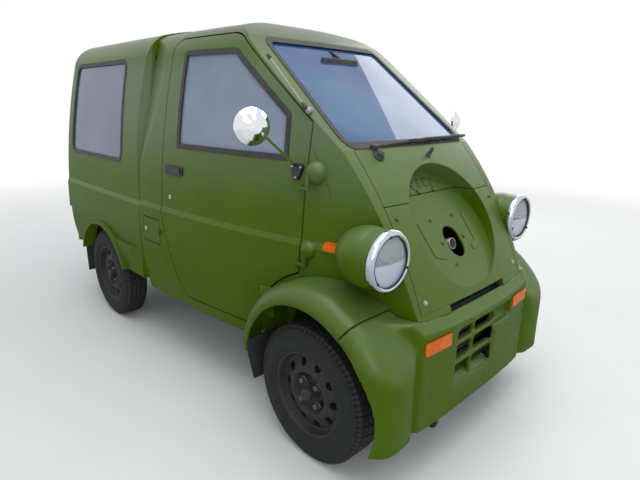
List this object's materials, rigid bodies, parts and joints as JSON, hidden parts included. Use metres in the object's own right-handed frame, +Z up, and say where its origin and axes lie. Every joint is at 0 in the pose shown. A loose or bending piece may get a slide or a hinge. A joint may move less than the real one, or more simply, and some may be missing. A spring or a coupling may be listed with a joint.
{
  "type": "kei truck",
  "caption": "One-box micro delivery truck with a rounded nose, round recess in its face, bulging front fenders, round headlamps, one door a side, and a raised windowed cargo body with a top-hung tailgate.",
  "frame": {"origin": "On the ground, under the middle of the truck's outer box.", "axes": "Z points up. The front faces minus Y. Plus X is the passenger's side; the driver sits on the minus X side."},
  "size_m": [1.44, 2.79, 1.7049],
  "materials": {
    "paint": "satin",
    "floor_paint": "satin",
    "black_metal": "satin",
    "steel": "rough",
    "cast": "rough",
    "chrome_trim": "polished",
    "seal": "matte",
    "tyre": "matte",
    "dark_plastic": "matte",
    "seat_fabric": "matte",
    "window_glass": "clear",
    "lens_glass": "clear",
    "amber": "glossy",
    "red_lens": "glossy"
  },
  "bodies": {
    "body": {"antenna": "chrome_trim", "cab_shell": "paint", "cargo_shell": "paint", "chassis_frame": "black_metal", "cowl_panel": "paint", "dashboard": "dark_plastic", "engine_block": "cast", "exhaust": "steel", "fixed_glass": "window_glass", "floor_pan": "floor_paint", "front_bumper": "paint", "front_fenders": "paint", "front_lid": "paint", "front_suspension": "black_metal", "fuel_tank": "black_metal", "headlamp_lenses": "lens_glass", "headlamp_pods": "paint", "headlamp_rings": "chrome_trim", "indicators": "amber", "mudflaps": "seal", "rear_axle": "black_metal", "rear_bumper": "paint", "seats": "seat_fabric", "tail_lamps": "red_lens", "window_seals": "seal", "wiper": "black_metal"},
    "door_right": {"door_right": "paint", "door_glass_right": "window_glass", "door_trim_right": "seal", "door_mirror_right": "chrome_trim"},
    "door_left": {"door_left": "paint", "door_glass_left": "window_glass", "door_trim_left": "seal", "door_mirror_left": "chrome_trim"},
    "tailgate": {"tailgate": "paint", "tailgate_glass": "window_glass", "tailgate_seal": "seal"},
    "fuel_flap": {"fuel_flap": "paint"},
    "steering_wheel": {"steering_wheel": "dark_plastic"},
    "knuckle_right": {"knuckle_right": "steel"},
    "knuckle_left": {"knuckle_left": "steel"},
    "wheel_front_right": {"tyre_front_right": "tyre", "rim_front_right": "black_metal"},
    "wheel_front_left": {"tyre_front_left": "tyre", "rim_front_left": "black_metal"},
    "wheel_rear_right": {"tyre_rear_right": "tyre", "rim_rear_right": "black_metal"},
    "wheel_rear_left": {"tyre_rear_left": "tyre", "rim_rear_left": "black_metal"}
  },
  "joints": [
    {"name": "door_right_hinge", "type": "hinge", "parent": "body", "child": "door_right", "pos_m": [-0.505, -0.895, 0.9], "axis": [0.0436, 0, 0.999], "range_deg": [0, 62]},
    {"name": "door_left_hinge", "type": "hinge", "parent": "body", "child": "door_left", "pos_m": [0.505, -0.895, 0.9], "axis": [0.0436, 0, -0.999], "range_deg": [0, 62]},
    {"name": "tailgate_hinge", "type": "hinge", "parent": "body", "child": "tailgate", "pos_m": [0, 1.333, 1.606], "axis": [1, 0, 0], "range_deg": [0, 85]},
    {"name": "fuel_flap_hinge", "type": "hinge", "parent": "body", "child": "fuel_flap", "pos_m": [-0.622, 0.062, 0.694], "axis": [0, 0, 1], "range_deg": [0, 95]},
    {"name": "steer_right", "type": "hinge", "parent": "body", "child": "knuckle_right", "pos_m": [-0.495, -1.007, 0.185], "axis": [0.235, 0, 0.972], "range_deg": [-33, 33]},
    {"name": "steer_left", "type": "hinge", "parent": "body", "child": "knuckle_left", "pos_m": [0.495, -1.007, 0.185], "axis": [-0.235, 0, 0.972], "range_deg": [-33, 33]},
    {"name": "steering_wheel_turn", "type": "hinge", "parent": "body", "child": "steering_wheel", "pos_m": [-0.225, -0.585, 1.03], "axis": [0, 0.7071, 0.7071], "range_deg": [-495, 495]},
    {"name": "wheel_front_right_spin", "type": "hinge", "parent": "knuckle_right", "child": "wheel_front_right", "pos_m": [-0.541, -1.007, 0.271], "axis": [1, 0, 0], "continuous": true},
    {"name": "wheel_rear_right_spin", "type": "hinge", "parent": "body", "child": "wheel_rear_right", "pos_m": [-0.541, 0.833, 0.271], "axis": [1, 0, 0], "continuous": true},
    {"name": "wheel_front_left_spin", "type": "hinge", "parent": "knuckle_left", "child": "wheel_front_left", "pos_m": [0.541, -1.007, 0.271], "axis": [1, 0, 0], "continuous": true},
    {"name": "wheel_rear_left_spin", "type": "hinge", "parent": "body", "child": "wheel_rear_left", "pos_m": [0.541, 0.833, 0.271], "axis": [1, 0, 0], "continuous": true}
  ],
  "couplings": [
    {"joint": "steer_left", "follows": "steer_right", "ratio": 1},
    {"joint": "steering_wheel_turn", "follows": "steer_right", "ratio": 15}
  ]
}
